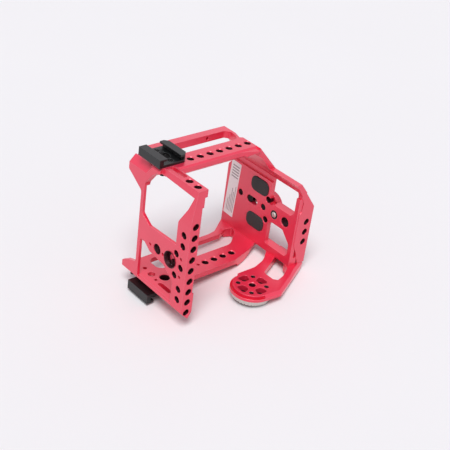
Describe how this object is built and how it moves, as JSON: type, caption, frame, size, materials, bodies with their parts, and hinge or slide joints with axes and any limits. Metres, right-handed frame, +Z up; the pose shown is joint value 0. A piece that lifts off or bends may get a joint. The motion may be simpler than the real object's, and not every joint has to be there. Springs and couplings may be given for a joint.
{
  "type": "camera cage",
  "caption": "Red anodised aluminium camera cage with threaded accessory holes, two cold shoes, a toothed side-handle foot, camera screw, sprung pin and thumb screw",
  "frame": {"origin": "middle of the bounding box's bottom: on the plane of the lower shoe's underside", "axes": "+X from the left plate to the right plate that carries the camera's base, +Y from the lens side to the back, +Z up through the upper frame"},
  "size_m": [0.1328, 0.1075, 0.1264],
  "materials": {
    "anodised_red": "satin red anodised",
    "black_anodised": "satin black anodised",
    "black_steel": "black oxide",
    "steel": "satin",
    "rubber": "matte",
    "nylon": "matte",
    "label_paper": "matte printed film"
  },
  "bodies": {
    "cage": {"bracket_screws": "black_steel", "handle_bracket": "anodised_red", "label": "label_paper", "left_plate": "anodised_red", "lower_frame": "anodised_red", "lower_left_screws": "black_steel", "lower_pad": "rubber", "lower_right_screws": "black_steel", "lower_shoe": "black_anodised", "lower_shoe_pins": "black_steel", "lower_shoe_screw": "steel", "pin_bush": "black_anodised", "pin_plug": "steel", "pin_spring": "steel", "right_plate": "anodised_red", "rosette": "steel", "rosette_screws": "black_steel", "upper_frame": "anodised_red", "upper_left_screws": "black_steel", "upper_pad": "rubber", "upper_right_dowels": "steel", "upper_shoe": "black_anodised", "upper_shoe_pins": "black_steel", "upper_shoe_screw": "steel"},
    "camera_screw_carrier": {"camera_screw_washer": "steel"},
    "camera_screw_body": {"camera_screw": "black_steel"},
    "thumb_carrier": {"thumb_washer": "nylon"},
    "thumb_screw": {"thumb_wheel": "anodised_red", "thumb_stud": "black_steel"},
    "locating_pin_body": {"locating_pin": "steel"}
  },
  "joints": [
    {"name": "camera_screw_slide", "type": "slide", "parent": "cage", "child": "camera_screw_carrier", "axis": [0, 1, 0], "range_m": [-0.006, 0.0004]},
    {"name": "camera_screw_spin", "type": "hinge", "parent": "camera_screw_carrier", "child": "camera_screw_body", "pos_m": [0.0509, 0.0226, 0.0556], "axis": [1, 0, 0], "continuous": true},
    {"name": "thumb_screw_travel", "type": "slide", "parent": "cage", "child": "thumb_carrier", "axis": [1, 0, 0], "range_m": [0, 0.004]},
    {"name": "thumb_screw_spin", "type": "hinge", "parent": "thumb_carrier", "child": "thumb_screw", "pos_m": [0.0559, 0.0064, 0.0554], "axis": [1, 0, 0], "range_deg": [-20, 1150]},
    {"name": "locating_pin_push", "type": "slide", "parent": "cage", "child": "locating_pin_body", "axis": [1, 0, 0], "range_m": [0, 0.002], "stiffness_N_per_m": 150, "springref_m": -0.001, "deforming": ["pin_spring"]}
  ],
  "couplings": [
    {"joint": "thumb_screw_spin", "follows": "thumb_screw_travel", "rad_per_m": 4947.4}
  ]
}
